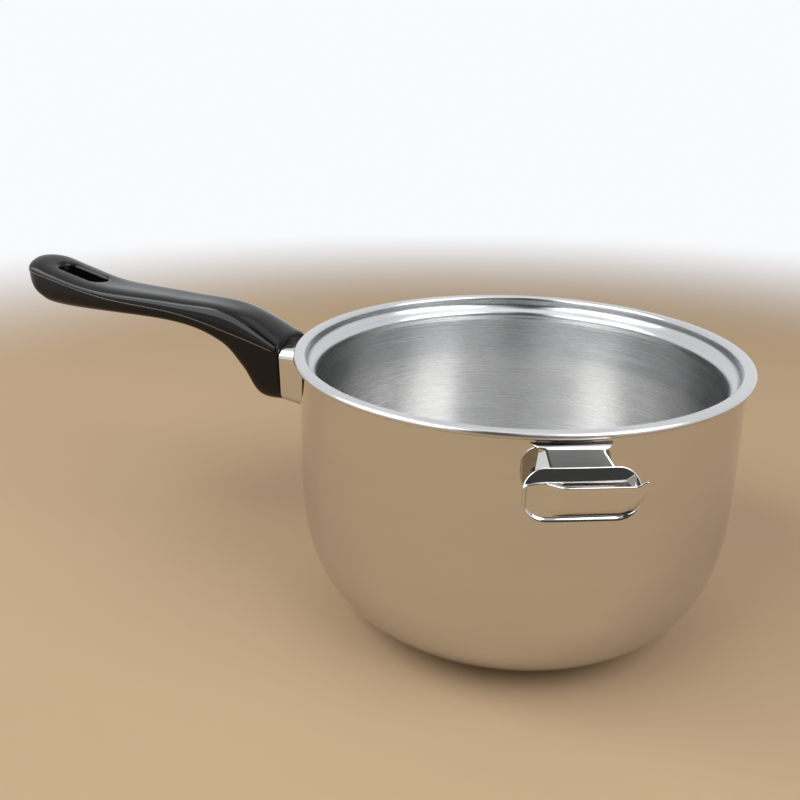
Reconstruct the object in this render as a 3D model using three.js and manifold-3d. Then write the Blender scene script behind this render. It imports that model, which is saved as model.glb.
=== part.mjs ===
// Bain-marie pot: a steel bowl hung by its stepped rim in a bellied outer pot, a hook and a screwed-on handle.
// Millimetres, +Z up. The origin is the centre of the base, and the handle points along -X.
import * as THREE from 'three';
import { mergeVertices } from 'three/addons/utils/BufferGeometryUtils.js';
import Module from 'manifold-3d';

const wasm = await Module();
wasm.setup();

// General fits
const gap = 0.3;
const turns = 48;

// Outer pot and the bowl inside it
const potHeight = 104;
const potSheet = 0.8;
const baseRadius = 38;
const bellyInset = 1.1;
const bellyHeight = 50;
const collarInset = 2.6;
const rimRadius = 85;
const brimWidth = 4.6;
const hemRadius = 0.7;
const hemTuck = 3;
const brimFillet = 1.2;
const seatDepth = 4.5;
const ledgeWidth = 4.1;
const ledgeFall = 3.5;
const lipRound = 1.3;
const jacketFloor = 9;
const bowlFlat = 40;
const bowlHeight = 52;

// Hook
const hookSheet = 1.2;
const hookAngle = 114.9;
const hookReach = 6.2;
const hookDrop = 3.3;
const padWidth = 20;
const padHeight = 12;
const padCorner = 4;
const neckRootWidth = 23.5;
const neckWaist = 18.4;
const neckEndWidth = 23;
const neckCrown = 1.5;
const neckBend = 4.6;
const plateWidth = 34;
const plateShift = 1.5;
const plateHeight = 16;
const plateCorner = 7;
const plateLean = 1.6;
const lipDrop = 5.5;
const lipThrow = 4;
const lipTipRise = 1.4;
const lipTipReach = 1.2;
const plateFlare = 0.8;

// Handle grip
const gripStandoff = 14;
const gripLength = 138;
const gripTop = 4.6;
const heelHeight = 29.6;
const heelLength = 12;
const heelTilt = 0.8;
const shoulderRise = 4.8;
const throatDrop = 10.8;
const waistRise = 7.4;
const waistThickness = 11.6;
const tailRise = 14.5;
const tailThickness = 17;
const tipRise = 21;
const tipThickness = 14;
const heelWidth = 25;
const waistWidth = 22.4;
const tailWidth = 27;
const tipRound = 11;
const gripCorner = 5.5;
const gripCrown = 3;
const seamHeel = -11.6;
const seamThroat = -6.4;
const seamWaist = 0.3;
const seamBack = 4.3;
const seamTail = 11.4;
const seamTip = 15;
const slotLength = 25;
const slotWidth = 9.4;
const slotEndWall = 12.5;

// Ferrule between pot and grip
const ferruleSheet = 1;
const ferruleInset = 0.8;
const ferruleTop = 5.4;
const ferruleFlare = 2.4;
const ferruleCorner = 4;

// Bracket, screw, washer and nut inside the handle
const tongueThickness = 3;
const tongueWidth = 13;
const tongueDrop = 20;
const tongueLength = 30;
const bracketPad = 16;
const bracketPadSheet = 2;
const screwSetback = 11;
const screwDiameter = 5;
const screwHeadDiameter = 8.6;
const screwHeadHeight = 3;
const screwRecess = 6.5;
const driveDepth = 1.6;
const driveWidth = 1.1;
const washerDiameter = 9.4;
const washerThickness = 1.1;
const nutSide = 8;
const nutHeight = 4;

const steel = new THREE.MeshStandardMaterial({ color: 0xc3c5c8, roughness: 0.12, metalness: 1 });
const plainSteel = new THREE.MeshStandardMaterial({ color: 0x9a9da1, roughness: 0.4, metalness: 1 });
const phenolic = new THREE.MeshStandardMaterial({ color: 0x121214, roughness: 0.22, metalness: 0 });

// Joins shared corners and drops the flat triangles at poles.
function weld(geometry) {
  const bare = geometry.clone();
  bare.deleteAttribute('normal');
  bare.deleteAttribute('uv');
  const merged = mergeVertices(bare, 1e-4);
  const corners = merged.index.array;
  const kept = [];
  for (let i = 0; i < corners.length; i += 3) {
    const [a, b, c] = corners.slice(i, i + 3);
    if (a !== b && b !== c && c !== a) kept.push(a, b, c);
  }
  merged.setIndex(kept);
  return merged;
}

// Turns a closed surface so that its faces point out.
function outward(geometry) {
  const p = geometry.attributes.position;
  const corners = Array.from(geometry.index.array);
  const [a, b, c] = [new THREE.Vector3(), new THREE.Vector3(), new THREE.Vector3()];
  let volume = 0;
  for (let i = 0; i < corners.length; i += 3) {
    a.fromBufferAttribute(p, corners[i]);
    b.fromBufferAttribute(p, corners[i + 1]);
    c.fromBufferAttribute(p, corners[i + 2]);
    volume += a.dot(b.cross(c));
  }
  if (volume < 0) corners.reverse();
  geometry.setIndex(corners);
  return geometry;
}

function solid(geometry) {
  const shell = outward(weld(geometry));
  const vertProperties = Float32Array.from(shell.attributes.position.array);
  const triVerts = Uint32Array.from(shell.index.array);
  return new wasm.Manifold(new wasm.Mesh({ numProp: 3, vertProperties, triVerts }));
}

function surface(body) {
  const mesh = body.getMesh();
  const geometry = new THREE.BufferGeometry();
  geometry.setAttribute('position', new THREE.BufferAttribute(mesh.vertProperties, 3));
  geometry.setIndex(new THREE.BufferAttribute(mesh.triVerts, 1));
  geometry.computeVertexNormals();
  return geometry;
}

function indexed(points, faces) {
  const geometry = new THREE.BufferGeometry().setFromPoints(points);
  geometry.setIndex(faces);
  return geometry;
}

// Skins a row of closed rings and caps both ends.
function loft(rings) {
  const count = rings[0].length;
  const faces = [];
  for (let i = 0; i + 1 < rings.length; i++) {
    for (let j = 0; j < count; j++) {
      const [a, b] = [i * count + j, i * count + (j + 1) % count];
      faces.push(a, b, b + count, a, b + count, a + count);
    }
  }
  const points = rings.flat();
  const caps = [[rings[0], 0, true], [rings.at(-1), points.length - count, false]];
  for (const [ring, first, flip] of caps) {
    const centre = ring.reduce((sum, p) => sum.add(p), new THREE.Vector3()).divideScalar(count);
    const hub = points.push(centre) - 1;
    for (let j = 0; j < count; j++) {
      const [a, b] = [first + j, first + (j + 1) % count];
      faces.push(hub, flip ? b : a, flip ? a : b);
    }
  }
  return indexed(points, faces);
}

// A sheet of even thickness: at(u, v, side) gives its two faces, side being +1 or -1.
function thickSheet(across, along, at) {
  const points = [];
  for (const side of [1, -1]) {
    for (let i = 0; i <= across; i++) {
      for (let j = 0; j <= along; j++) points.push(at(i / across, j / along, side));
    }
  }
  const row = along + 1;
  const back = (across + 1) * row;
  const faces = [];
  const quad = (a, b, c, d) => faces.push(a, b, c, a, c, d);
  for (let i = 0; i < across; i++) {
    for (let j = 0; j < along; j++) {
      const a = i * row + j;
      quad(a, a + row, a + row + 1, a + 1);
      quad(back + a, back + a + 1, back + a + row + 1, back + a + row);
    }
    const [near, far] = [i * row, i * row + along];
    quad(near, back + near, back + near + row, near + row);
    quad(far, far + row, back + far + row, back + far);
  }
  for (let j = 0; j < along; j++) {
    const last = across * row + j;
    quad(j, j + 1, back + j + 1, back + j);
    quad(last, back + last, back + last + 1, last + 1);
  }
  return indexed(points, faces);
}

// Outline of a rectangle with round corners, anticlockwise from its right side.
function roundedRect(width, height, radius, steps = 5) {
  const points = [];
  for (let corner = 0; corner < 4; corner++) {
    const x = (corner % 3 === 0 ? 1 : -1) * (width / 2 - radius);
    const y = (corner < 2 ? 1 : -1) * (height / 2 - radius);
    for (let i = 0; i <= steps; i++) {
      const a = (corner + i / steps) * Math.PI / 2;
      points.push(new THREE.Vector2(x + radius * Math.cos(a), y + radius * Math.sin(a)));
    }
  }
  return points;
}

function extrude(outline, depth) {
  return new THREE.ExtrudeGeometry(new THREE.Shape(outline), { depth, bevelEnabled: false });
}

function revolve(profile, segments = turns) {
  return new THREE.LatheGeometry(profile, segments).rotateX(Math.PI / 2);
}

function cylinder(radius, bottom, top, segments = 24) {
  const outline = [[0, bottom], [radius, bottom], [radius, top], [0, top]];
  return revolve(outline.map(([x, y]) => new THREE.Vector2(x, y)), segments);
}

// Middle lines of both sheets, from the centre outwards.
const half = potSheet / 2;
const seatLine = rimRadius - brimWidth + half;
const lipLine = seatLine - ledgeWidth;
const lipHeight = potHeight - seatDepth - ledgeFall;
const brimLine = potHeight - half;
const bellyLine = rimRadius - bellyInset - half;
const collarLine = rimRadius - collarInset - half;
const collarTop = brimLine - 2 * hemRadius - half - gap;

// Outer pot: flat base, belly, and a collar that ends under the bowl's brim.
function outerPath() {
  const path = new THREE.Path();
  path.moveTo(0, half);
  path.lineTo(baseRadius, half);
  const sweep = baseRadius + (bellyLine - baseRadius) * 0.68;
  path.bezierCurveTo(sweep, half, bellyLine, bellyHeight * 0.27, bellyLine, bellyHeight);
  const rise = bellyHeight + (collarTop - bellyHeight) * 0.5;
  const bend = bellyHeight + (collarTop - bellyHeight) * 0.75;
  path.bezierCurveTo(bellyLine, rise, collarLine, bend, collarLine, collarTop);
  return path;
}

// Bowl: flat floor, wall, lip, sloping ledge, lid seat, brim and tucked-under hem.
function bowlPath() {
  const path = new THREE.Path();
  const floor = half + jacketFloor;
  const wall = lipLine + lipRound;
  path.moveTo(0, floor);
  path.lineTo(bowlFlat, floor);
  const sweep = bowlFlat + (wall - bowlFlat) * 0.7;
  path.bezierCurveTo(sweep, floor, wall, floor + (bowlHeight - floor) * 0.25, wall, bowlHeight);
  path.lineTo(wall, lipHeight - lipRound);
  path.quadraticCurveTo(lipLine - lipRound / 2, lipHeight, wall, lipHeight + lipRound);
  path.lineTo(seatLine - lipRound, potHeight - seatDepth - lipRound);
  path.quadraticCurveTo(seatLine, potHeight - seatDepth, seatLine, potHeight - seatDepth + lipRound);
  path.lineTo(seatLine, brimLine - brimFillet);
  path.quadraticCurveTo(seatLine, brimLine, seatLine + brimFillet, brimLine);
  const hemCentre = rimRadius - half - hemRadius;
  path.lineTo(hemCentre, brimLine);
  path.absarc(hemCentre, brimLine - hemRadius, hemRadius, Math.PI / 2, -Math.PI / 2, true);
  path.lineTo(rimRadius - hemTuck, brimLine - 2 * hemRadius);
  return path;
}

// Points along a path, with the number of steps that each of its curves takes.
function pathPoints(path, steps) {
  const first = path.curves[0].getPoint(0);
  return [first, ...path.curves.flatMap((curve, i) => curve.getPoints(steps[i]).slice(1))];
}

const outerPoints = () => pathPoints(outerPath(), [1, 12, 6]);
const bowlPoints = () => pathPoints(bowlPath(), [1, 10, 2, 4, 1, 2, 1, 2, 1, 4, 1]);

// Moves a profile sideways by a distance, to its right when positive.
function offsetProfile(points, distance) {
  return points.map((p, i) => {
    const before = points[Math.max(i - 1, 0)];
    const after = points[Math.min(i + 1, points.length - 1)];
    const along = after.clone().sub(before).normalize();
    return new THREE.Vector2(p.x + along.y * distance, p.y - along.x * distance);
  });
}

// A sheet of the pot's thickness turned round its axis.
function spunSheet(line) {
  const outer = offsetProfile(line, half);
  const inner = offsetProfile(line, -half).reverse();
  return outward(weld(revolve([...outer, ...inner])));
}

// Everything within the outer pot's face and a clearance, up to its top edge.
function potEnvelope(clearance) {
  const side = offsetProfile(outerPoints(), half + clearance);
  return solid(revolve([...side, new THREE.Vector2(0, collarTop)]));
}

// Hook, built along +X: pad, hourglass neck, leaning plate and the lip folded up in front of it.
const plateRadius = rimRadius + hookReach;
const hookTop = potHeight - hookDrop;
const plateTop = hookTop - neckBend;
const plateMiddle = plateTop - plateHeight / 2;
const lipTop = plateTop - lipDrop;
const plateAt = (z) => plateRadius - plateLean * Math.max(z - lipTop, 0) / lipDrop;

function hookPad() {
  const block = extrude(roundedRect(padWidth, padHeight, padCorner), rimRadius / 2);
  block.rotateX(Math.PI / 2).rotateZ(Math.PI / 2);
  block.translate(rimRadius / 2, 0, hookTop - padHeight / 2 - hookSheet);
  const reach = potEnvelope(gap + hookSheet);
  return reach.intersect(solid(block));
}

function neckLine() {
  const root = collarLine + half + gap + hookSheet / 2;
  const end = plateAt(plateTop);
  return new THREE.CatmullRomCurve3([
    new THREE.Vector3(root, 0, hookTop - neckBend - hookSheet),
    new THREE.Vector3(root + hookSheet / 2, 0, hookTop - hookSheet),
    new THREE.Vector3(root + neckBend / 2, 0, hookTop),
    new THREE.Vector3(end - neckBend * 0.4, 0, hookTop - neckBend * 0.4),
    new THREE.Vector3(end, 0, plateTop - hookSheet),
  ]);
}

function hookNeck() {
  const line = neckLine();
  const halfWidth = (u) => {
    const end = u < 0.5 ? neckRootWidth : neckEndWidth;
    const away = Math.min(Math.abs(u - 0.5) * (u < 0.5 ? 4 : 2), 1);
    return (neckWaist + (end - neckWaist) * away * away) / 2;
  };
  const at = (u, v, side) => {
    const p = line.getPoint(u);
    const t = line.getTangent(u);
    const across = 2 * v - 1;
    p.x -= t.z * side * hookSheet / 2;
    p.z += t.x * side * hookSheet / 2 - neckCrown * u * across ** 4;
    p.y = across * halfWidth(u);
    return p;
  };
  return thickSheet(10, 6, at);
}

// Height of the plate's rounded outline above its own middle, at a distance y from its centre line.
function plateEdge(y) {
  const straight = plateWidth / 2 - plateCorner;
  const past = Math.max(Math.abs(y) - straight, 0);
  return plateHeight / 2 - plateCorner + Math.sqrt(Math.max(plateCorner * plateCorner - past * past, 0));
}

function hookPlate() {
  const at = (u, v, side) => {
    const y = plateWidth / 2 * Math.sin((u - 0.5) * Math.PI);
    const z = plateMiddle + plateEdge(y) * (2 * v - 1);
    return new THREE.Vector3(plateAt(z) + side * hookSheet / 2, y + plateShift, z);
  };
  return thickSheet(20, 4, at);
}

function hookLip() {
  const ease = (x) => THREE.MathUtils.smoothstep(x, 0, 1);
  const at = (u, v, side) => {
    const s = Math.sin((u - 0.5) * Math.PI);
    const y = plateWidth / 2 * s;
    const tip = ease((s - 0.82) / 0.18);
    const top = lipTop + lipTipRise * tip;
    const bottom = Math.min(plateMiddle - plateEdge(y), lipTop - hookSheet / 2);
    const z = top + (bottom - top) * v;
    const front = plateRadius + lipThrow * (1 - v ** 3);
    const free = ease((s + 0.68) / 0.4);
    const flare = plateFlare * Math.max(v, -s * ease(v * 2)) ** 4;
    const back = plateAt(z) + hookSheet / 4;
    const x = back + (front - back) * free + flare + side * hookSheet / 2;
    return new THREE.Vector3(x, y + plateShift + lipTipReach * tip * (1 - v), z);
  };
  return thickSheet(20, 6, at);
}

function hook() {
  const sheets = solid(hookNeck()).add(solid(hookPlate())).add(solid(hookLip()));
  return surface(hookPad().add(sheets).subtract(potEnvelope(gap)).simplify(hookSheet / 50));
}

// Handle, built along +X: the grip's top and bottom lines seen from the side.
const gripStart = rimRadius + gripStandoff;
const gripEnd = gripStart + gripLength;
const rim = potHeight;
const heelTop = rim - gripTop;
const heelBottom = heelTop - heelHeight;
const along = (share) => gripStart + gripLength * share;

function gripTopLine() {
  return new THREE.SplineCurve([
    new THREE.Vector2(gripStart, heelTop),
    new THREE.Vector2(along(0.18), rim + shoulderRise),
    new THREE.Vector2(along(0.41), rim + waistRise),
    new THREE.Vector2(along(0.7), rim + (waistRise * 2 + tailRise) / 3),
    new THREE.Vector2(along(0.86), rim + tailRise),
    new THREE.Vector2(gripEnd, rim + tipRise),
  ]);
}

function gripBottomLine() {
  const throat = rim - throatDrop;
  const tail = rim + tailRise - tailThickness;
  const tip = rim + tipRise - tipThickness;
  return new THREE.SplineCurve([
    new THREE.Vector2(gripStart, heelBottom),
    new THREE.Vector2(gripStart + heelLength, heelBottom + heelTilt),
    new THREE.Vector2(gripStart + heelLength * 1.6, (heelBottom + throat) / 2),
    new THREE.Vector2(along(0.225), throat),
    new THREE.Vector2(along(0.41), rim + waistRise - waistThickness),
    new THREE.Vector2(along(0.84), tail),
    new THREE.Vector2(along(0.94), (tail * 2 + tip) / 3),
    new THREE.Vector2(gripEnd, tip),
  ]);
}

function gripWidthLine() {
  return new THREE.SplineCurve([
    new THREE.Vector2(gripStart, heelWidth / 2),
    new THREE.Vector2(along(0.35), waistWidth / 2),
    new THREE.Vector2(along(0.8), tailWidth / 2),
    new THREE.Vector2(gripEnd, tailWidth / 2),
  ]);
}

// Mould line, where the grip is widest.
function gripSeamLine() {
  return new THREE.SplineCurve([
    new THREE.Vector2(gripStart, rim + seamHeel),
    new THREE.Vector2(along(0.15), rim + seamThroat),
    new THREE.Vector2(along(0.37), rim + seamWaist),
    new THREE.Vector2(along(0.66), rim + seamBack),
    new THREE.Vector2(along(0.89), rim + seamTail),
    new THREE.Vector2(gripEnd, rim + seamTip),
  ]);
}

// Height of a side line at a distance from the pot's axis.
function heightAt(points, x) {
  const next = Math.max(points.findIndex((p) => p.x >= x), 1);
  const [a, b] = [points[next - 1], points[next]];
  return a.y + (b.y - a.y) * (x - a.x) / (b.x - a.x);
}

function gripBlank() {
  const lines = [gripTopLine(), gripBottomLine(), gripSeamLine(), gripWidthLine()];
  const [top, bottom, seam, wide] = lines.map((line) => line.getPoints(160));
  const rings = [];
  const steps = 34;
  for (let i = 0; i <= steps; i++) {
    const x = gripStart + gripLength * 0.999 * Math.sin(i / steps * Math.PI / 2) ** 1.15;
    const inTip = Math.max(x - gripEnd + tipRound, 0) / tipRound;
    const round = Math.sqrt(1 - inTip * inTip);
    const middle = (heightAt(top, x) + heightAt(bottom, x)) / 2;
    const closed = (line) => middle + (heightAt(line, x) - middle) * (0.35 + 0.65 * round);
    const [high, low, level] = [closed(top), closed(bottom), closed(seam)];
    const halfWidth = heightAt(wide, x) * round;
    const ring = [];
    for (let j = 0; j < 28; j++) {
      const [c, s] = [Math.cos(j / 14 * Math.PI), Math.sin(j / 14 * Math.PI)];
      const power = 2 / (s > 0 ? gripCrown : gripCorner);
      const y = halfWidth * Math.sign(c) * Math.abs(c) ** power;
      const z = (s > 0 ? high - level : low - level) * Math.abs(s) ** power;
      ring.push(new THREE.Vector3(x, y, level + z));
    }
    rings.push(ring);
  }
  return solid(loft(rings));
}

// Levels of the screwed joint inside the heel.
const tongueTop = rim - tongueDrop + tongueThickness / 2;
const tongueBottom = tongueTop - tongueThickness;
const screwAt = gripStart + screwSetback;
const washerTop = heelBottom + screwRecess - gap;
const headTop = washerTop - washerThickness - gap;
const nutBottom = tongueTop + gap;
const nutTop = nutBottom + nutHeight;
const tongueEnd = gripStart + tongueLength - gripStandoff;

function gripSlot() {
  const slot = extrude(roundedRect(slotLength, slotWidth, slotWidth * 0.49, 8), rim);
  return slot.translate(gripEnd - slotEndWall - slotLength / 2, 0, rim / 2);
}

function gripSocket() {
  const length = tongueEnd - gripStart + gap;
  const height = nutTop - tongueBottom + 2 * gap;
  const socket = new THREE.BoxGeometry(length * 2, tongueWidth + 2 * gap, height);
  return socket.translate(gripStart, 0, tongueBottom - gap + height / 2);
}

function grip() {
  const below = heelBottom - screwRecess;
  const shank = solid(cylinder(screwDiameter / 2 + gap, below, tongueTop));
  const recess = solid(cylinder(washerDiameter / 2 + gap, below, heelBottom + screwRecess));
  const bore = shank.add(recess).translate([screwAt, 0, 0]);
  return surface(gripBlank().subtract(solid(gripSlot())).subtract(solid(gripSocket())).subtract(bore));
}

function ferruleBody(inset) {
  const inner = rimRadius / 2;
  const ends = [[inner, ferruleFlare * (gripStart - inner) / gripStandoff], [gripStart - gap, 0]];
  const rings = ends.map(([x, grow]) => {
    const width = heelWidth - 2 * ferruleInset - 2 * inset;
    const height = heelHeight - ferruleTop - ferruleInset - 2 * inset + grow;
    const outline = roundedRect(width, height, ferruleCorner - inset);
    const middle = heelTop - heelHeight / 2 - (ferruleTop - ferruleInset + grow) / 2;
    return outline.map((p) => new THREE.Vector3(x, p.x, middle + p.y));
  });
  return solid(loft(rings));
}

function ferrule() {
  const inside = ferruleBody(ferruleSheet).translate([gripStandoff, 0, 0]).add(ferruleBody(ferruleSheet));
  return surface(ferruleBody(0).subtract(inside).subtract(potEnvelope(gap)));
}

function bracket() {
  const length = tongueEnd - rimRadius / 2;
  const tongue = new THREE.BoxGeometry(length, tongueWidth - 2 * gap, tongueThickness);
  tongue.translate(tongueEnd - length / 2, 0, tongueTop - tongueThickness / 2);
  const hole = cylinder(screwDiameter / 2 + gap, tongueBottom - gap, tongueTop + gap);
  hole.translate(screwAt, 0, 0);
  const block = new THREE.BoxGeometry(rimRadius, bracketPad, bracketPad);
  block.translate(rimRadius, 0, tongueBottom + tongueThickness / 2);
  const pad = potEnvelope(gap + bracketPadSheet).intersect(solid(block));
  return surface(solid(tongue).subtract(solid(hole)).add(pad).subtract(potEnvelope(gap)));
}

function screw() {
  const head = solid(cylinder(screwHeadDiameter / 2, headTop - screwHeadHeight, headTop));
  const shank = solid(cylinder(screwDiameter / 2, headTop - driveDepth / 2, nutTop - gap));
  const drive = new THREE.BoxGeometry(screwHeadDiameter * 0.6, driveWidth, driveDepth * 2);
  drive.translate(0, 0, headTop - screwHeadHeight);
  const cross = drive.clone().rotateZ(Math.PI / 2);
  return surface(head.add(shank).subtract(solid(drive)).subtract(solid(cross)));
}

function ring(body, bottom, top) {
  return surface(body.subtract(solid(cylinder(screwDiameter / 2 + gap, bottom - gap, top + gap))));
}

function washer() {
  const disc = solid(cylinder(washerDiameter / 2, washerTop - washerThickness, washerTop));
  return ring(disc, washerTop - washerThickness, washerTop);
}

function nut() {
  const block = new THREE.BoxGeometry(nutSide, nutSide, nutHeight);
  block.translate(0, 0, nutBottom + nutHeight / 2);
  return ring(solid(block), nutBottom, nutTop);
}

function piece(name, geometry, material, x = 0) {
  const mesh = new THREE.Mesh(geometry, material);
  mesh.name = name;
  mesh.position.x = x;
  return mesh;
}

const pot = new THREE.Group();
pot.add(piece('outer_pot', spunSheet(outerPoints()), steel));
pot.add(piece('inner_bowl', spunSheet(bowlPoints()), steel));

const hookSide = new THREE.Group();
hookSide.rotation.z = Math.PI + THREE.MathUtils.degToRad(hookAngle);
hookSide.add(piece('rim_hook', hook(), steel));
pot.add(hookSide);

const handle = new THREE.Group();
handle.rotation.z = Math.PI;
handle.add(piece('handle_grip', grip(), phenolic));
handle.add(piece('handle_ferrule', ferrule(), steel));
handle.add(piece('handle_bracket', bracket(), plainSteel));
handle.add(piece('handle_screw', screw(), plainSteel, screwAt));
handle.add(piece('screw_washer', washer(), plainSteel, screwAt));
handle.add(piece('bracket_nut', nut(), plainSteel, screwAt));
pot.add(handle);

export default pot;
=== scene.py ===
import bmesh
import bpy
import numpy as np
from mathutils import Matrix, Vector


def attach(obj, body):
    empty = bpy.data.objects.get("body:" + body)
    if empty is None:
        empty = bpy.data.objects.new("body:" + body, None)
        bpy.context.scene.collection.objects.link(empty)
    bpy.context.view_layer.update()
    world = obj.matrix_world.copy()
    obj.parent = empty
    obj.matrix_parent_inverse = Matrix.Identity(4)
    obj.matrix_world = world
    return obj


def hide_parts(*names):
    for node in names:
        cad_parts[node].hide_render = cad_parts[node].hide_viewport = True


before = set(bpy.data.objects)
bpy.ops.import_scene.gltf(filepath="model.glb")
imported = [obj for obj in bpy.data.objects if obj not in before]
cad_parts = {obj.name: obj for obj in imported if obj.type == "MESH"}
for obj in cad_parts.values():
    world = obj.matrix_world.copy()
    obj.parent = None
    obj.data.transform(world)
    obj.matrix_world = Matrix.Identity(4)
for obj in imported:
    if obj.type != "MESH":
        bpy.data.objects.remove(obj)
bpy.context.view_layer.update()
mm = 0.001
weld, sliver = 2e-6, 1e-6  # metres
print("frame loaded:", len(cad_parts), "nodes")


# curves and grids

def bezier(points, count):  # a line, quadratic or cubic by repeated blending of its control points
    t = np.linspace(0, 1, count)[:, None, None]
    level = np.repeat(np.array(points, float)[None], count, 0)
    while level.shape[1] > 1:
        level = level[:, :-1] * (1 - t) + level[:, 1:] * t
    return level[:, 0]


def throughPoints(points, count):  # uniform Catmull-Rom: cubic weights on the four nearest points
    p = np.array(points, float)
    p = np.vstack([p[:1], p, p[-1:]])
    t = np.linspace(0, len(points) - 1, count)
    i = np.minimum(t.astype(int), len(points) - 2)
    f = (t - i)[:, None]
    a, b, c, d = p[i], p[i + 1], p[i + 2], p[i + 3]
    return 0.5 * (2 * b + (c - a) * f + (2 * a - 5 * b + 4 * c - d) * f**2 + (3 * b - a - 3 * c + d) * f**3)


def chain(parts):  # joins curves end to end, dropping each repeated first point
    return np.vstack([parts[0]] + [p[1:] for p in parts[1:]])


def smoothStep(x):
    x = np.clip(x, 0, 1)
    return x * x * (3 - 2 * x)


def unit(v):
    return v / np.maximum(np.linalg.norm(v, axis=-1, keepdims=True), 1e-12)


def gridFaces(rows, columns, wrapRows=False, wrapColumns=False):  # quads between neighbouring points
    down, across = np.arange(rows - (not wrapRows)), np.arange(columns - (not wrapColumns))
    i, j = np.meshgrid(down, across, indexing="ij")
    k, l = (i + 1) % rows, (j + 1) % columns
    quads = np.stack([i * columns + j, k * columns + j, k * columns + l, i * columns + l], -1)
    return quads.reshape(-1, 4)


def roundedOutline(width, height, radius, steps):  # quarter circles joined by straight sides, anticlockwise
    turn = (np.arange(4)[:, None] + np.linspace(0, 1, steps + 1)[None]) * np.pi / 2
    x = np.array([1, -1, -1, 1])[:, None] * (width / 2 - radius) + radius * np.cos(turn)
    y = np.array([1, 1, -1, -1])[:, None] * (height / 2 - radius) + radius * np.sin(turn)
    return np.stack([x, y], -1).reshape(-1, 2)


# meshes

def buildMesh(name, points, faces):  # millimetre points into a closed mesh in metres, poles and seams merged
    mesh = bpy.data.meshes.new(name)
    mesh.from_pydata((np.asarray(points).reshape(-1, 3) * mm).tolist(), [], np.asarray(faces).tolist())
    work = bmesh.new()
    work.from_mesh(mesh)
    bmesh.ops.remove_doubles(work, verts=work.verts, dist=weld)
    bmesh.ops.dissolve_degenerate(work, edges=work.edges, dist=sliver)
    bmesh.ops.recalc_face_normals(work, faces=work.faces)
    work.to_mesh(mesh)
    work.free()
    piece = bpy.data.objects.new(name, mesh)
    bpy.context.scene.collection.objects.link(piece)
    return piece


def boolean(piece, other, operation):  # joins or cuts; the result becomes the piece's own mesh
    change = piece.modifiers.new(operation, "BOOLEAN")
    change.object, change.operation, change.solver = other, operation, "MANIFOLD"
    bpy.context.view_layer.update()
    made = bpy.data.meshes.new_from_object(piece.evaluated_get(bpy.context.evaluated_depsgraph_get()))
    piece.modifiers.clear()
    piece.data = made
    bpy.data.objects.remove(other)


def finishPiece(piece, material, slot, *nodes, sharp=35):  # smooth shading, material, and what it stands for
    piece.data.polygons.foreach_set("use_smooth", np.ones(len(piece.data.polygons), bool))
    piece.data.set_sharp_from_angle(angle=np.radians(sharp))
    piece.data.materials.clear()
    piece.data.materials.append(material)
    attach(piece, "root")
    if nodes:
        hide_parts(*nodes)
    print("piece", piece.name, len(piece.data.polygons), "faces")


def roundedSheet(mid, thickness, steps=6):  # both faces of a middle surface and its half-round edge
    rows, columns = mid.shape[:2]
    normal = unit(np.cross(np.gradient(mid, axis=0), np.gradient(mid, axis=1)))
    index = np.arange(rows * columns).reshape(rows, columns)
    loop = np.concatenate([index[0], index[1:, -1], index[-1, -2::-1], index[-2:0:-1, 0]])
    edge, edgeNormal = mid.reshape(-1, 3)[loop], normal.reshape(-1, 3)[loop]
    out = unit(np.cross(np.roll(edge, -1, 0) - np.roll(edge, 1, 0), edgeNormal))
    out *= np.sign(np.sum(out * (edge - edge.mean(0))))
    turn = (np.arange(1, steps) / steps * np.pi)[:, None, None]
    rim = edge + thickness / 2 * (np.cos(turn) * edgeNormal + np.sin(turn) * out)
    lift = normal * thickness / 2
    points = np.vstack([p.reshape(-1, 3) for p in (mid + lift, mid - lift, rim)])
    back, face = rows * columns, gridFaces(rows, columns)
    edges = np.arange(rim.shape[0] * len(loop)).reshape(rim.shape[0], -1)
    rings = np.vstack([loop, 2 * back + edges, back + loop])
    band = gridFaces(*rings.shape, wrapColumns=True)
    return points, np.vstack([face, face[:, ::-1] + back, rings.reshape(-1)[band]])


# materials

class Wire:  # one shader value; Python operators on it add Math nodes
    def __init__(self, shader, socket):
        self.shader, self.socket = shader, socket

    def math(self, operation, *values):
        return self.shader.node("ShaderNodeMath", {"operation": operation}, dict(enumerate(values)))

    def __add__(self, other):
        return self.math("ADD", self, other)

    def __sub__(self, other):
        return self.math("SUBTRACT", self, other)

    def __rsub__(self, other):
        return self.math("SUBTRACT", other, self)

    def __mul__(self, other):
        return self.math("MULTIPLY", self, other)

    def __truediv__(self, other):
        return self.math("DIVIDE", self, other)

    def __pow__(self, other):
        return self.math("POWER", self, other)

    __radd__, __rmul__ = __add__, __mul__


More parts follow.
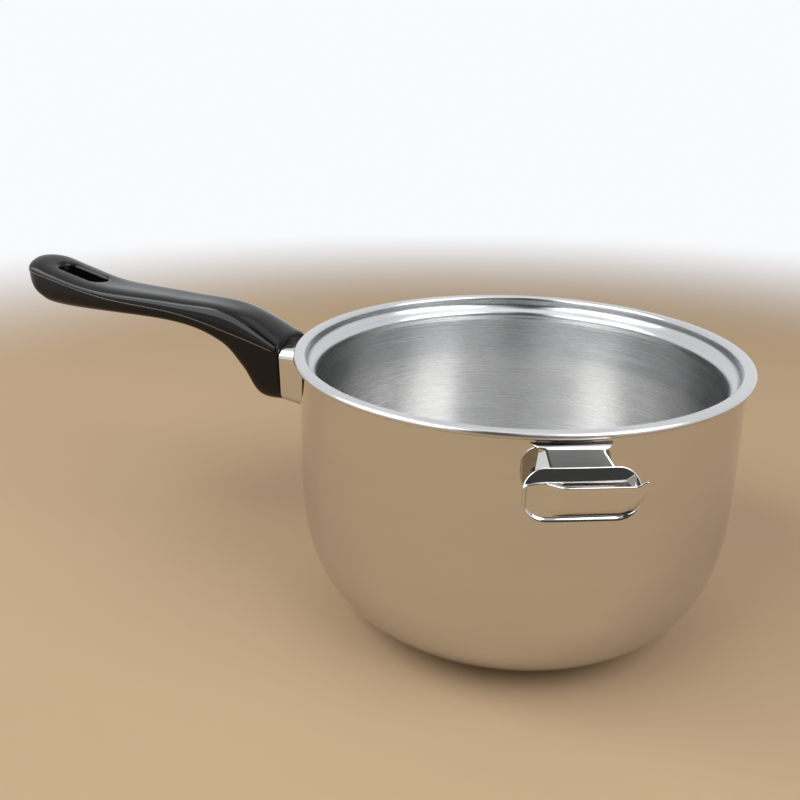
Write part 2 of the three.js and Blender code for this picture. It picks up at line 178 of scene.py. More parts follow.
class Shader:  # a node tree that is filled through one method
    def __init__(self, owner):
        owner.use_nodes = True
        self.owner, self.tree = owner, owner.node_tree
        self.tree.nodes.clear()

    def node(self, kind, settings=None, sockets=None, out=0):
        made = self.tree.nodes.new(kind)
        for key, value in (settings or {}).items():
            setattr(made, key, value)
        for key, value in (sockets or {}).items():
            if isinstance(value, Wire):
                self.tree.links.new(value.socket, made.inputs[key])
            else:
                made.inputs[key].default_value = value
        if isinstance(out, tuple):
            return [Wire(self, made.outputs[o]) for o in out]
        return Wire(self, made.outputs[out]) if made.outputs else made

    def coords(self):
        return self.node("ShaderNodeTexCoord", out="Object")

    def stretched(self, vector, scale):
        return self.node("ShaderNodeVectorMath", {"operation": "MULTIPLY"}, {0: vector, 1: scale})

    def noise(self, vector, scale, detail=3.0, roughness=0.55):
        sockets = {"Vector": vector, "Scale": scale, "Detail": detail, "Roughness": roughness}
        return self.node("ShaderNodeTexNoise", {}, sockets)

    def ramp(self, value, ends, kind="LINEAR"):  # 0 at the first end, 1 at the second
        sockets = {"Value": value, "From Min": ends[0], "From Max": ends[1]}
        return self.node("ShaderNodeMapRange", {"interpolation_type": kind}, sockets)

    def mixColour(self, share, first, second):
        return self.node("ShaderNodeMix", {"data_type": "RGBA"}, {0: share, 6: first, 7: second}, out=2)

    def bump(self, height, strength, distance):
        return self.node("ShaderNodeBump", {}, {"Height": height, "Strength": strength, "Distance": distance})

    def surface(self, sockets):
        skin = self.node("ShaderNodeBsdfPrincipled", {}, sockets)
        self.node("ShaderNodeOutputMaterial", {}, {"Surface": skin})
        return self.owner


def newShader(name):
    return Shader(bpy.data.materials.new(name))


polishedLook = {"bright": (0.68, 0.67, 0.655, 1), "dull": (0.61, 0.60, 0.585, 1),
                "gloss": 0.02, "smear": 0.05, "fine": 0.02, "wave": 0.012, "waveDepth": 0.004,
                "wipeScale": (14, 14, 60), "fineScale": (60, 60, 900), "waveScale": 22.0}
satinLook = {"bright": (0.76, 0.76, 0.755, 1), "dull": (0.60, 0.60, 0.595, 1),
             "rough": 0.25, "grain": 0.10, "bandGloss": 0.08, "brush": 0.9, "brushTurn": 0.25,
             "around": 0.6, "along": 2.4, "hairEnds": (0.3, 0.7), "bandScale": (0.8, 0.8, 0.1),
             "shares": (0.6, 0.4), "relief": (0.05, 0.0002),
             "rim": (0.60, 0.605, 0.61, 1), "rimFrom": (128, 134)}
phenolicLook = {"colour": (0.0025, 0.0025, 0.003, 1), "wearAndSheen": (0.005, 0.005, 0.0055, 1),
                "rough": 0.07, "haze": 0.06, "hazePower": 1.5, "shine": 0.25, "hazeScale": (30, 60, 60),
                "skin": 0.02, "skinScale": 900.0, "skinDepth": 0.0002}
zincLook = {"bright": (0.60, 0.61, 0.63, 1), "dull": (0.42, 0.43, 0.45, 1), "rough": 0.32, "spread": 0.16,
            "cloudScale": 260.0, "relief": (0.04, 0.0003)}


def polishedSteel(name, look):  # mirror steel: faint wipe marks in the gloss, long soft waves in the sheet
    s = newShader(name)
    place = s.coords()
    wipe = s.noise(s.stretched(place, look["wipeScale"]), 1.0, 4.0)
    fine = s.noise(s.stretched(place, look["fineScale"]), 1.0, 2.0)
    wave = s.noise(place, look["waveScale"], 1.0)
    return s.surface({
        "Base Color": s.mixColour(wipe, look["dull"], look["bright"]),
        "Metallic": 1.0,
        "Roughness": look["gloss"] + look["smear"] * wipe**2.0 + look["fine"] * fine,
        "Normal": s.bump(wave, look["wave"], look["waveDepth"]),
    })


def satinSteel(name, look):  # brushed round the axis: hair lines of changing gloss
    s = newShader(name)
    place = s.coords()
    along = s.node("ShaderNodeAttribute", {"attribute_name": "meridian"}, out="Fac")
    x, y = s.node("ShaderNodeSeparateXYZ", {}, {0: place}, out=(0, 1))
    radius = (x * x + y * y + 1e-8)**0.5
    around = look["around"]
    spot = {0: x / radius * around, 1: y / radius * around, 2: along * look["along"]}
    line = s.node("ShaderNodeCombineXYZ", {}, spot)
    hair = s.ramp(s.noise(line, 1.0, 5.0, 0.75), look["hairEnds"])
    band = s.noise(s.stretched(line, look["bandScale"]), 1.0, 2.0)
    hairShare, bandShare = look["shares"]
    wall = s.mixColour(hair * hairShare + band * bandShare, look["dull"], look["bright"])
    rim = s.ramp(along, look["rimFrom"])
    return s.surface({
        "Base Color": s.mixColour(rim, wall, look["rim"]),
        "Metallic": 1.0,
        "Roughness": look["rough"] + look["grain"] * (hair - 0.5) + look["bandGloss"] * (band - 0.5),
        "Anisotropic": look["brush"],
        "Anisotropic Rotation": look["brushTurn"],
        "Normal": s.bump(hair, *look["relief"]),
    })


def phenolic(name, look):  # moulded black: a glossy skin with haze where hands rub it; the mould line's lightened colours are a painted highlight
    s = newShader(name)
    place = s.coords()
    haze = s.noise(s.stretched(place, look["hazeScale"]), 1.0, 4.0)
    skin = s.noise(place, look["skinScale"], 2.0)
    return s.surface({
        "Base Color": s.mixColour(haze, look["colour"], look["wearAndSheen"]),
        "Roughness": look["rough"] + look["haze"] * haze ** look["hazePower"],
        "Specular IOR Level": look["shine"],
        "Normal": s.bump(skin, look["skin"], look["skinDepth"]),
    })


def zincSteel(name, look):  # plated small parts: a cloudy grey spangle
    s = newShader(name)
    cloud = s.noise(s.coords(), look["cloudScale"], 3.0)
    return s.surface({
        "Base Color": s.mixColour(cloud, look["dull"], look["bright"]),
        "Metallic": 1.0,
        "Roughness": look["rough"] + look["spread"] * (cloud - 0.5),
        "Normal": s.bump(cloud, *look["relief"]),
    })


potOutside = polishedSteel("pot_polished", polishedLook)
potInside = satinSteel("pot_satin", satinLook)
hookSteel = polishedSteel("hook_polished", {**polishedLook, "gloss": 0.05, "wave": 0.008})
ferruleSteel = polishedSteel("ferrule_polished", {**polishedLook, "gloss": 0.07})
gripBlack = phenolic("grip_phenolic", phenolicLook)
# mould line: both colours lightened to grey as a painted highlight along the bead
seamSheenLook = {**phenolicLook, "colour": (0.03, 0.03, 0.032, 1), "wearAndSheen": (0.07, 0.07, 0.072, 1),
            "rough": 0.3, "shine": 0.6}
seamPaintedSheen = phenolic("mould_line", seamSheenLook)
zinc = zincSteel("zinc_plate", zincLook)
print("materials made")


# outer pot and bowl

potSize = {"height": 104, "sheet": 0.8, "base": 38, "bellyInset": 1.1, "bellyHeight": 50,
           "bellyPull": (0.68, 0.27), "collarInset": 2.6, "collarGap": 0.1, "collarPull": (0.5, 0.75),
           "wallFrom": 50, "rim": 85, "brim": 4.6, "hem": 0.7, "tuck": 3, "brimFillet": 1.2, "seat": 4.5,
           "ledge": 4.1, "fall": 3.5, "lip": 1.3, "lipUnder": 2.2, "jacket": 9, "bowlFlat": 40,
           "bowlHeight": 52, "bowlPull": (0.7, 0.25), "turns": 256}


def outerPath(s):  # middle line of the outer sheet: flat base, belly and a collar that ends under the brim
    half = s["sheet"] / 2
    belly, collar = s["rim"] - s["bellyInset"] - half, s["rim"] - s["collarInset"] - half
    low, top = s["bellyHeight"], s["height"] - s["sheet"] - 2 * s["hem"] - s["collarGap"]
    out, up = s["bellyPull"]
    sweep = s["base"] + (belly - s["base"]) * out
    turn, draw = (low + (top - low) * share for share in s["collarPull"])
    return chain([
        bezier([(0, half), (s["base"], half)], 16),
        bezier([(s["base"], half), (sweep, half), (belly, low * up), (belly, low)], 64),
        bezier([(belly, low), (belly, turn), (collar, draw), (collar, top)], 40),
    ])


def bowlPath(s):  # middle line of the bowl, from its floor to the tucked-under hem
    half, high = s["sheet"] / 2, s["height"]
    seat = s["rim"] - s["brim"] + half
    lip, lipAt, top = seat - s["ledge"], high - s["seat"] - s["fall"], high - half
    wall, step, floor, low = lip + s["lip"], high - s["seat"], half + s["jacket"], s["bowlHeight"]
    hem = s["rim"] - half - s["hem"]
    turn = np.linspace(np.pi / 2, -np.pi / 2, 17)
    flat, bend, fillet, (out, up) = s["bowlFlat"], s["lip"], s["brimFillet"], s["bowlPull"]
    under, over = lipAt - bend * s["lipUnder"], lipAt + bend
    return chain([
        bezier([(0, floor), (flat, floor)], 16),
        bezier([(flat, floor), (flat + (wall - flat) * out, floor),
                (wall, floor + (low - floor) * up), (wall, low)], 56),
        bezier([(wall, low), (wall, (low + lipAt) / 2), (wall, under)], 24),
        bezier([(wall, under), (wall, lipAt - bend), (lip - bend / 3, lipAt - bend / 2),
                (lip + bend / 3, lipAt + bend / 2), (wall, over)], 24),
        bezier([(wall, over), (seat - bend, step - bend)], 5),
        bezier([(seat - bend, step - bend), (seat, step), (seat, step + bend)], 12),
        bezier([(seat, step + bend), (seat, top - fillet)], 4),
        bezier([(seat, top - fillet), (seat, top), (seat + fillet, top)], 12),
        bezier([(seat + fillet, top), (hem, top)], 6),
        np.stack([hem + s["hem"] * np.cos(turn), top - s["hem"] + s["hem"] * np.sin(turn)], 1),
        bezier([(hem, top - 2 * s["hem"]), (s["rim"] - s["tuck"], top - 2 * s["hem"])], 5),
    ])


def offsetLine(line, distance):  # each point moved square to the line, to its right when positive
    along = unit(np.gradient(line, axis=0))
    return line + distance * np.stack([along[:, 1], -along[:, 0]], 1)


def revolve(profile, turns):  # a profile of radius and height carried round the axis
    angle = np.linspace(0, 2 * np.pi, turns, endpoint=False)
    r, z = profile[None, :, 0], profile[None, :, 1]
    return np.stack([r * np.cos(angle)[:, None], r * np.sin(angle)[:, None], z + 0 * angle[:, None]], -1)


def spunSheet(name, line, s):  # both faces of the sheet and its square edge, spun round the axis
    outer, inner = offsetLine(line, s["sheet"] / 2), offsetLine(line, -s["sheet"] / 2)[::-1]
    outer[0, 0] = inner[-1, 0] = 0
    profile = np.vstack([outer, inner])
    return buildMesh(name, revolve(profile, s["turns"]), gridFaces(s["turns"], len(profile), wrapRows=True))


def markMeridian(piece, line):  # stores each vertex's length along the middle line
    spot = np.empty(len(piece.data.vertices) * 3)
    piece.data.vertices.foreach_get("co", spot)
    spot = spot.reshape(-1, 3) / mm
    flat = np.stack([np.hypot(spot[:, 0], spot[:, 1]), spot[:, 2]], 1)
    length = np.concatenate([[0], np.cumsum(np.linalg.norm(np.diff(line, axis=0), axis=1))])
    near = np.argmin(((flat[:, None] - line[None]) ** 2).sum(-1), 1)
    mark = piece.data.attributes.new("meridian", "FLOAT", "POINT")
    mark.data.foreach_set("value", length[near].astype(np.float32))


outerLine, bowlLine = outerPath(potSize), bowlPath(potSize)
faceLine = offsetLine(outerLine, potSize["sheet"] / 2)[potSize["wallFrom"]:]
outerFace = lambda z: np.interp(z, faceLine[:, 1], faceLine[:, 0])  # the outer pot's radius at a height
finishPiece(spunSheet("outer_shell", outerLine, potSize), potOutside, "polished_steel", "outer_pot", sharp=50)
bowl = spunSheet("bowl_shell", bowlLine, potSize)
markMeridian(bowl, bowlLine)
finishPiece(bowl, potInside, "polished_steel", "inner_bowl", sharp=50)


# hook

hookSize = {"sheet": 0.65, "angle": 114.9, "reach": 6.2, "drop": 3.3, "pad": (12, 12, 4), "padDrop": 1.2,
            "gap": 0.12, "root": 6, "rootHeights": (91, 95), "neckTurn": 0.7, "soften": 0.5,
            "left": (12.2, 10.6, 10.5, 10.8, 11.3), "right": (11.5, 9.9, 8.3, 9.3, 10.9),
            "fold": (8.8, 7.5), "foldSlope": 1.0, "foldStart": 1.5, "ledge": 3.3, "bowEnd": 3, "bend": 4.6,
            "plate": (34.0, 16.0, 7.0), "shift": 1.5, "lean": 0.26, "leanFrom": 6.2, "bow": 0.6,
            "lip": 4.1, "lipLeast": 1.2, "lipFoot": 0.87, "throw": 3.2, "sBend": (-0.68, -0.28),
            "tipFrom": (0.82, 0.18), "tipRise": 1.4, "tipReach": 0.3, "dipFrom": (0.7, 0.3), "dip": 0.7,
            "flare": (0.8, 1.2), "flareSide": 1.2}


def edgeHeight(y, width, height, corner):  # half height of a rounded outline at y
    past = np.maximum(np.abs(y) - (width / 2 - corner), 0)
    return height / 2 - corner + np.sqrt(np.maximum(corner**2 - past**2, 0))


def hookSheets(s):
    t, plateRadius = s["sheet"], potSize["rim"] + s["reach"]
    top = potSize["height"] - s["drop"]
    plateTop = top - s["bend"]
    width, height, corner = s["plate"]
    middle, lipTop = plateTop - height / 2, plateTop - s["lip"]
    inset = (width - t, height - t, corner - t / 2)

    def plateAt(z, y):  # leans back above the lip by a softened ramp, upright below it, ends bowed back
        above = z - plateTop + s["leanFrom"]
        return plateRadius - s["lean"] * (above + np.sqrt(above**2 + 1)) / 2 - s["bow"] * (2 * y / width) ** 2

    def flareAt(z, y):  # the margin along the foot and the left end turns out
        inside = np.minimum(z - middle + edgeHeight(y, *inset), (y + inset[0] / 2) * s["flareSide"])
        return s["flare"][0] * smoothStep(1 - inside / s["flare"][1]) * smoothStep((lipTop + 0.5 - z) / 2)

    # pad: a rounded patch bent to the wall
    padWidth, padHeight, padCorner = s["pad"]
    y = (padWidth - t) / 2 * np.sin(np.linspace(-1, 1, 33) * np.pi / 2)[:, None]
    tall = edgeHeight(y, padWidth - t, padHeight - t, padCorner - t / 2)
    z = top - s["padDrop"] - padHeight / 2 + np.linspace(-1, 1, 17)[None] * tall
    r, y = outerFace(z) + s["gap"] + t / 2, y + 0 * z
    yield np.stack([np.sqrt(r**2 - y**2), y, z], -1)
    # neck: up from the pad, a flat ledge under the brim, a slope to the plate, and a folded left margin
    foot, against = s["rootHeights"]
    root, end = outerFace(against) + s["gap"] + t / 2, plateAt(plateTop, 0)
    turn, ledge = s["neckTurn"] * t, root + s["ledge"]
    line = np.array([(root, foot), (root, top - 2 * turn), (root, top - turn), (root + turn, top),
                     (ledge - turn, top), (ledge, top - turn * 0.2),
                     (ledge + turn * 0.6, top - turn * 1.1), (end, plateTop - t)])
    length = np.concatenate([[0], np.cumsum(np.linalg.norm(np.diff(line, axis=0), axis=1))])
    u, v = np.linspace(0, length[-1], 121)[:, None], np.linspace(-1, 1, 61)[None]
    soft = np.exp(-((u - u.T) / s["soften"]) ** 2)
    line = np.stack([np.interp(u[:, 0], length, line[:, k]) for k in (0, 1)], 1)
    line = soft @ line / soft.sum(1, keepdims=True)
    at = np.array([0, length[2], length[3], length[5], length[6] + 0.6,
                   (length[6] + length[7]) / 2, length[7]])
    sides = [throughPoints(list(zip(at, (s["root"], s["root"], *s[k]))), 300) for k in ("left", "right")]
    left, right = (np.interp(u, *side.T) for side in sides)
    y = np.where(v < 0, left, right) * v * (1 - t / 2 / right)
    over = smoothStep((u - length[4]) / s["foldStart"])
    near, far = s["fold"]
    past = -(near + (far - near) * np.clip((u - length[4]) / (length[7] - length[4]), 0, 1)) - y
    drop = s["foldSlope"] * over * (past + np.sqrt(past**2 + 0.05)) / 2
    along = unit(np.gradient(line, axis=0))
    bow = (1 - smoothStep((u - length[3]) / s["bowEnd"])) * y**2 / (2 * potSize["rim"])
    yield np.stack([line[:, :1] - bow + along[:, 1:] * drop, y, line[:, 1:] - along[:, :1] * drop], -1)
    # plate: a rounded outline
    y = inset[0] / 2 * np.sin(np.linspace(-1, 1, 61) * np.pi / 2)[:, None]
    z = middle + np.linspace(-1, 1, 33)[None] * edgeHeight(y, *inset)
    yield np.stack([plateAt(z, y) + flareAt(z, y), y + s["shift"] + 0 * z, z], -1)
    # lip: a wall in front of the plate, joined to it below and at the left, from an S-bend to a raised tip
    e, v = np.sin(np.linspace(-1, 1, 121) * np.pi / 2)[:, None], np.linspace(0, 1, 41)[None]
    y = inset[0] / 2 * e
    (tipAt, tipOver), (dipAt, dipOver), (bendAt, bendEnd) = s["tipFrom"], s["dipFrom"], s["sBend"]
    tip, start = smoothStep((e - tipAt) / tipOver), smoothStep((-e - dipAt) / dipOver)
    high = lipTop + s["tipRise"] * tip - s["dip"] * start
    z = high + (np.minimum(middle - edgeHeight(y, *inset), lipTop - s["lipLeast"]) - high) * v
    free = smoothStep((e - bendAt) / (bendEnd - bendAt))
    front = plateRadius + t / 4 + s["throw"] * (1 - np.minimum(v / s["lipFoot"], 1) ** 3)
    back = plateAt(np.minimum(z, plateTop - s["leanFrom"] - 1), y) + t / 4
    across = y + s["shift"] + s["tipReach"] * tip * (1 - v)
    yield np.stack([back + (front - back) * free + flareAt(z, y), across, z], -1)


def makeHook(s):
    turn = np.pi + np.radians(s["angle"])
    spin = np.array([[np.cos(turn), np.sin(turn), 0], [-np.sin(turn), np.cos(turn), 0], [0, 0, 1]])
    sheets = [roundedSheet(mid, s["sheet"]) for mid in hookSheets(s)]
    parts = [buildMesh(f"hook_sheet_{i}", points @ spin, faces) for i, (points, faces) in enumerate(sheets)]
    for part in parts[1:]:
        boolean(parts[0], part, "UNION")
    parts[0].name = parts[0].data.name = "folded_hook"
    return parts[0]


finishPiece(makeHook(hookSize), hookSteel, "polished_steel", "rim_hook", sharp=40)


# handle grip

gripSize = {"start": 99, "length": 136.8, "top": 4.6, "heel": 29.6, "heelLength": 12, "heelTilt": 0.8,
            "shoulder": 4.8, "throat": 10.8, "waist": (7.4, 11.6), "tail": (14.5, 17), "tip": (21, 14),
            "widths": (25, 22.4, 27), "seam": (-11.6, -6.4, 0.3, 4.3, 11.4, 15.0), "around": 128,
            "tipRound": 11, "tipPower": 2.7, "tipShrink": (0.35, 0.65), "edge": 0.9, "sink": 1.5, "crown": 2.4,
            "corners": (4.0, 4.4), "dish": 1.2, "dishEnds": (0.09, 0.99), "dishFade": 0.12, "dishWidth": 0.78,
            "slot": (25, 9.4, 12.5), "slotRound": 1.7, "slotOpen": 65, "slotFlare": 2.6,
            "slotPast": (-1.0, -5.0), "recess": (5.0, 6.5), "chamfer": 0.5, "lead": 8,
            "shank": (2.8, 9), "screwAt": 11}
rimHeight = potSize["height"]


def gripLines(s):
    at = lambda share: s["start"] + s["length"] * share
    heelTop = rimHeight - s["top"]
    heelBottom = heelTop - s["heel"]
    (waist, waistThick), (tail, tailThick), (tip, tipThick) = s["waist"], s["tail"], s["tip"]
    throat = rimHeight - s["throat"]
    tailLow, tipLow = rimHeight + tail - tailThick, rimHeight + tip - tipThick
    top = throughPoints([(at(0), heelTop - s["sink"]), (at(0.18), rimHeight + s["shoulder"]),
                         (at(0.41), rimHeight + waist), (at(0.7), rimHeight + (waist * 2 + tail) / 3),
                         (at(0.86), rimHeight + tail), (at(1), rimHeight + tip)], 400)
    bottom = throughPoints([(at(0), heelBottom), (at(0) + s["heelLength"], heelBottom + s["heelTilt"]),
                            (at(0) + s["heelLength"] * 1.6, (heelBottom + throat) / 2), (at(0.225), throat),
                            (at(0.41), rimHeight + waist - waistThick), (at(0.84), tailLow),
                            (at(0.94), (tailLow * 2 + tipLow) / 3), (at(1), tipLow)], 400)
    atHeel, atWaist, atTail = (width / 2 for width in s["widths"])
    wide = throughPoints([(at(0), atHeel), (at(0.35), atWaist), (at(0.8), atTail), (at(1), atTail)], 200)
    seamAt = at(np.array([0, 0.15, 0.37, 0.66, 0.89, 1]))
    seam = throughPoints(list(zip(seamAt, rimHeight + np.array(s["seam"]))), 200)
    return top, bottom, seam, wide


gripTop, gripBottom, gripSeam, gripWide = gripLines(gripSize)


def gripSection(s, x):  # half width, top, bottom and mould line at x; the tip closes on a squared ellipse
    inTip = np.clip((x - s["start"] - s["length"] + s["tipRound"]) / s["tipRound"], 0, 1)
    close = (1 - inTip ** s["tipPower"]) ** (1 / s["tipPower"])
    near = np.clip(s["edge"] - (x - s["start"]), 0, s["edge"])
    inset = s["edge"] - np.sqrt(s["edge"] ** 2 - near**2)
    high, low, level = (np.interp(x, *line.T) for line in (gripTop, gripBottom, gripSeam))
    least, rest = s["tipShrink"]
    half, mid, shrink = np.interp(x, *gripWide.T) * close - inset, (high + low) / 2, least + rest * close
    high, low, level = (mid + (line - mid) * shrink for line in (high, low, level))
    return half, high - inset, low + inset, level


def superEllipse(s, angle):  # unit section, of one power above the mould line and another below
    c, d = np.cos(angle), np.sin(angle)
    power = 2 / np.where(d > 0, *s["corners"])
    return np.sign(c) * np.abs(c) ** power, np.sign(d) * np.abs(d) ** power


def thumbDish(s, x, across):  # shallow hollow in the top, deepest on the centre line, fading at heel and tip
    share = (x - s["start"]) / s["length"]
    (first, last), fade = s["dishEnds"], s["dishFade"]
    rise, fall = smoothStep((share - first) / fade), smoothStep((last - share) / fade)
    return s["dish"] * rise * fall * np.maximum(1 - (across / s["dishWidth"]) ** 2, 0) ** 2


def makeGrip(s):
    end = s["start"] + s["length"]
    x = np.concatenate([s["start"] + s["edge"] * (1 - np.cos(np.linspace(0, np.pi / 2, 7))),
                        np.linspace(s["start"] + s["edge"], end - s["tipRound"], 150)[1:],
                        end - s["tipRound"] + s["tipRound"] * np.sin(np.linspace(0, np.pi / 2, 30))[1:]])
    half, high, low, level = (a[:, None] for a in gripSection(s, x))
    angle = np.linspace(0, 2 * np.pi, s["around"], endpoint=False)[None]
    a, b = superEllipse(s, angle)
    crown = np.minimum(s["crown"], (high - level) / 2)
    upper = (high - level - crown) * b + crown * (1 - a**2) - thumbDish(s, x[:, None], a)
    z = level + np.where(b > 0, upper, (level - low) * b)
    rings = np.stack([-x[:, None] + 0 * a, half * a, z], -1)
    shrink = np.array([0, 0.5])[:, None, None]
    heel = rings[0].mean(0) + (rings[0] - rings[0].mean(0)) * shrink
    rings = np.concatenate([heel, rings])
    return buildMesh("grip_moulding", rings, gridFaces(len(rings), s["around"], wrapColumns=True))


def slotCutter(s):  # a stadium outline whose offset opens in a round towards the top and bottom faces
    long, wide, wall = s["slot"]
    line = roundedOutline(long, wide, wide / 2 - 0.02, 16)
    out = unit(np.roll(line, -1, 0) - np.roll(line, 1, 0)) @ np.array([[0, -1], [1, 0]])
    a = np.radians(np.linspace(0, s["slotOpen"], 9))
    r = s["slotRound"]
    offset = np.append(r * (1 - np.cos(a)), np.full(2, r * (1 - np.cos(a[-1])) + s["slotFlare"]))
    depth = np.append(r * (1 - np.sin(a)), s["slotPast"])  # past both faces, so that nothing is left behind
    offset, depth = np.concatenate([offset[::-1], offset]), np.concatenate([-depth[::-1], depth])
    place = line[None] + out[None] * offset[:, None, None]
    x = s["start"] + s["length"] - wall - long / 2 - place[..., 0]
    upper = np.arange(len(offset))[:, None] >= len(offset) // 2
    across = place[..., 1] / np.interp(x, *gripWide.T)
    face = np.interp(x, *gripTop.T) - s["crown"] * across**2 - thumbDish(s, x, across)
    z = np.where(upper, face, np.interp(x, *gripBottom.T)) - depth[:, None]
    rings = np.stack([-x, place[..., 1], z], -1)
    first, last = (end.mean(1, keepdims=True) + 0 * end for end in (rings[:1], rings[-1:]))
    rings = np.concatenate([first, rings, last])
    return buildMesh("slot_cutter", rings, gridFaces(len(rings), len(line), wrapColumns=True))


def recessCutter(s):  # stepped bore for the screw's head and shank
    radius, depth = s["recess"]
    low = rimHeight - s["top"] - s["heel"]
    shank, deep = s["shank"]
    wide, below, floor, end = radius + s["chamfer"], low - s["lead"], low + depth, low + depth + deep
    profile = np.array([(0, below), (wide, below), (wide, low - 0.1), (radius, low + s["chamfer"]),
                        (radius, floor), (shank, floor), (shank, end), (0, end)])
    points = revolve(profile, 64) + np.array([-(s["start"] + s["screwAt"]), 0, 0])
    return buildMesh("recess_cutter", points, gridFaces(64, len(profile), wrapRows=True))


grip = makeGrip(gripSize)
boolean(grip, slotCutter(gripSize), "DIFFERENCE")
boolean(grip, recessCutter(gripSize), "DIFFERENCE")
finishPiece(grip, gripBlack, "phenolic", "handle_grip", sharp=32)


# mould line along both sides of the grip

seamSize = {"bead": 0.32, "proud": 0.16, "sides": 10, "taper": 3}


def makeSeam(s, g):  # a fine bead carried along the grip's widest line, round the tip and back
    tip, end = g["tipRound"], g["start"] + g["length"]
    x = np.concatenate([np.linspace(g["start"] + 1, end - tip, 120),
                        end - tip + tip * np.sin(np.linspace(0, np.pi / 2, 24))[1:]])
    half, _, _, level = gripSection(g, x)
    path = np.stack([-x, -half, level], 1)
    path = np.vstack([path, path[-2::-1] * (1, -1, 1)])
    ahead = unit(np.gradient(path, axis=0))
    out = unit(np.cross(ahead, (0, 0, 1)))
    out *= np.sign(np.sum(out * (path - path.mean(0))))
    up = np.cross(ahead, out)
    turn = np.linspace(0, 2 * np.pi, s["sides"], endpoint=False)[None, :, None]
    step = np.arange(len(path))
    size = s["bead"] * np.minimum(1, np.minimum(step, step[::-1]) / s["taper"])[:, None, None]
    centre = (path + out * (s["proud"] - s["bead"]))[:, None]
    ring = centre + size * (np.cos(turn) * out[:, None] + np.sin(turn) * up[:, None])
    return buildMesh("grip_mould_line", ring, gridFaces(len(path), s["sides"], wrapColumns=True))


finishPiece(makeSeam(seamSize, gripSize), seamPaintedSheen, "phenolic")


# ferrule

ferruleSize = {"sheet": 1.0, "inset": 0.8, "top": 5.4, "flare": 2.4, "corner": 4.0,
               "standoff": 14, "reach": 16, "gap": 0.3, "steps": 24}


def ferruleSkin(s, g, inset):  # rounded outline carried from the grip to the wall, growing downwards
    width = g["widths"][0] - 2 * s["inset"] - 2 * inset
    height = g["heel"] - s["top"] - s["inset"] - 2 * inset
    outline = roundedOutline(width, height, s["corner"] - inset, 14)
    t = np.linspace(0, 1, s["steps"])[:, None]
    high = rimHeight - g["top"] - s["top"] - inset
    begin = g["start"] - s["gap"]
    drop = (outline[None, :, 1] - height / 2) / height
    reach = begin - s["reach"] * t
    for _ in range(4):  # the wall's radius depends on the height, which depends on the reach
        z = high + drop * (height + s["flare"] * (begin - reach) / s["standoff"])
        wall = outerFace(z) + s["gap"]
        stop = np.sqrt(wall**2 - outline[None, :, 0] ** 2)
        reach = begin + (stop - begin) * t
    return np.stack([-reach, outline[None, :, 0] + 0 * t, z], -1)


def makeFerrule(s, g):
    outer, inner = ferruleSkin(s, g, 0), ferruleSkin(s, g, s["sheet"])
    rings = np.concatenate([outer, inner[::-1]])
    faces = gridFaces(len(rings), rings.shape[1], wrapRows=True, wrapColumns=True)
    return buildMesh("ferrule_sleeve", rings, faces)


finishPiece(makeFerrule(ferruleSize, gripSize), ferruleSteel, "polished_steel", "handle_ferrule", sharp=40)


# bracket, screw, washer and nut keep their own solids

for node in ("handle_bracket", "handle_screw", "screw_washer", "bracket_nut"):
    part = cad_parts[node]
    part.data.materials.clear()
    part.data.materials.append(zinc)


# stage, light and camera

stageLook = {"floor": (0.52, 0.375, 0.235, 1), "rough": 0.85, "fade": (0.42, 1.0), "size": 6.0,
             "sky": (0.95, 0.96, 0.98, 1), "front": (0.06, 0.06, 0.06, 1), "light": 0.36, "seen": 1.0,
             "low": ((0.45, -0.893), (0.72, 0.92), (0.90, 0.50)),
             "high": ((0.05, -0.9988), (0.945, 0.98), (0.995, 0.96))}
floorMesh = bpy.data.meshes.new("floor")
edge = stageLook["size"]
corners = [(-edge, -edge, 0), (edge, -edge, 0), (edge, edge, 0), (-edge, edge, 0)]
floorMesh.from_pydata(corners, [], [(0, 1, 2, 3)])
floor = bpy.data.objects.new("floor", floorMesh)
bpy.context.scene.collection.objects.link(floor)


def towardFront(shader, x, y, z, part):  # how far a direction points at one dark part of the room
    (alongX, alongY), spread, rise = stageLook[part]
    facing = (x * alongX + y * alongY) / (x * x + y * y + 1e-6) ** 0.5
    return shader.ramp(facing, spread, "SMOOTHSTEP") * shader.ramp(z, rise, "SMOOTHSTEP")


paint = newShader("floor_paint")
place = paint.coords()
x, y, z = paint.node("ShaderNodeSeparateXYZ", {}, {0: place}, out=(0, 1, 2))
distance = paint.node("ShaderNodeVectorMath", {"operation": "LENGTH"}, {0: place}, out="Value")
away = paint.ramp(distance, stageLook["fade"], "SMOOTHSTEP")
eye = paint.node("ShaderNodeLightPath", out="Is Camera Ray")
shade = towardFront(paint, x, y, z, "low") * (1 - eye)
dark = (0, 0, 0, 1)
floorMesh.materials.append(paint.surface({
    "Base Color": paint.mixColour(away, stageLook["floor"], dark),
    "Emission Color": paint.mixColour(away, dark, paint.mixColour(shade, stageLook["sky"], stageLook["front"])),
    "Emission Strength": stageLook["seen"],
    "Roughness": stageLook["rough"],
    "Specular IOR Level": 0.0,
}))

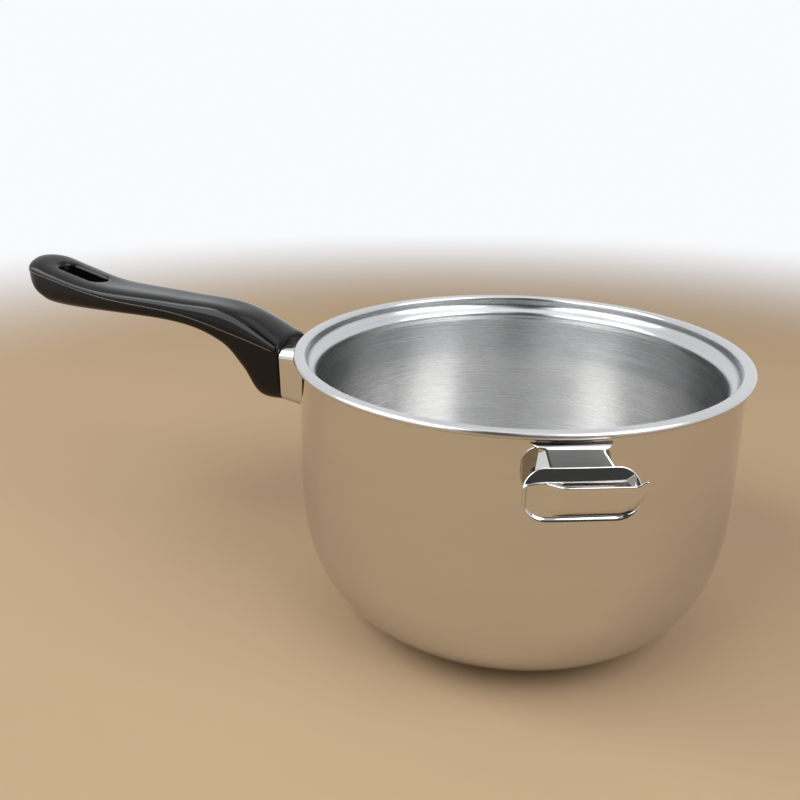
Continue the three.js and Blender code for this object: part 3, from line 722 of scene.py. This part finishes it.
world = bpy.data.worlds.new("studio")
bpy.context.scene.world = world
sky = Shader(world)
toward = sky.node("ShaderNodeTexCoord", out="Generated")
x, y, z = sky.node("ShaderNodeSeparateXYZ", {}, {0: toward}, out=(0, 1, 2))
rays = ("Is Camera Ray", "Is Glossy Ray", "Is Transmission Ray")
eye, gloss, through = sky.node("ShaderNodeLightPath", out=rays)
low, high = (towardFront(sky, x, y, z, part) for part in ("low", "high"))
shade = (low + high - low * high) * (1 - eye)
tone = sky.mixColour(shade, stageLook["sky"], stageLook["front"])
shown = eye.math("MAXIMUM", eye, gloss.math("MAXIMUM", gloss, through))
strength = stageLook["light"] + (stageLook["seen"] - stageLook["light"]) * shown
glow = sky.node("ShaderNodeBackground", {}, {"Color": tone, "Strength": strength})
sky.node("ShaderNodeOutputWorld", {}, {"Surface": glow})

lampSet = {
    "ceiling": {"place": (0.05, 0.25, 1.3), "aim": (0, 0, 0), "size": (0.7, 0.5), "power": 0.8},
    "window": {"place": (-0.565, -0.585, 0.813), "aim": (0, 0, 0.08), "size": (0.85, 0.75), "power": 6.4},
    "side": {"place": (0.739, -0.212, 0.855), "aim": (0, 0, 0.08), "size": (0.85, 0.75), "power": 6.4},
    "upper": {"place": (-1.05, -0.25, 1.0), "aim": (-0.15, 0, 0.1), "size": (0.3, 1.0), "power": 3.6},
}
for name, l in lampSet.items():
    lamp = bpy.data.lights.new(name, "AREA")
    lamp.shape, lamp.size, lamp.size_y, lamp.energy = "RECTANGLE", *l["size"], l["power"]
    holder = bpy.data.objects.new(name, lamp)
    holder.location = l["place"]
    holder.rotation_euler = (Vector(l["aim"]) - Vector(l["place"])).to_track_quat("-Z", "Y").to_euler()
    bpy.context.scene.collection.objects.link(holder)

cameraSet = {"place": (0.0621, -0.2732, 0.1885), "look": (-0.349, 0.865, -0.361),
             "lens": 33.79, "sensor": 36.0, "near": 0.01}
lens = bpy.data.cameras.new("camera")
lens.lens, lens.sensor_width, lens.clip_start = (cameraSet[key] for key in ("lens", "sensor", "near"))
camera = bpy.data.objects.new("camera", lens)
camera.location = cameraSet["place"]
camera.rotation_euler = Vector(cameraSet["look"]).to_track_quat("-Z", "Y").to_euler()
bpy.context.scene.collection.objects.link(camera)
bpy.context.scene.camera = camera
bpy.context.scene.view_settings.view_transform = "Standard"
print("stage, lights and camera set")
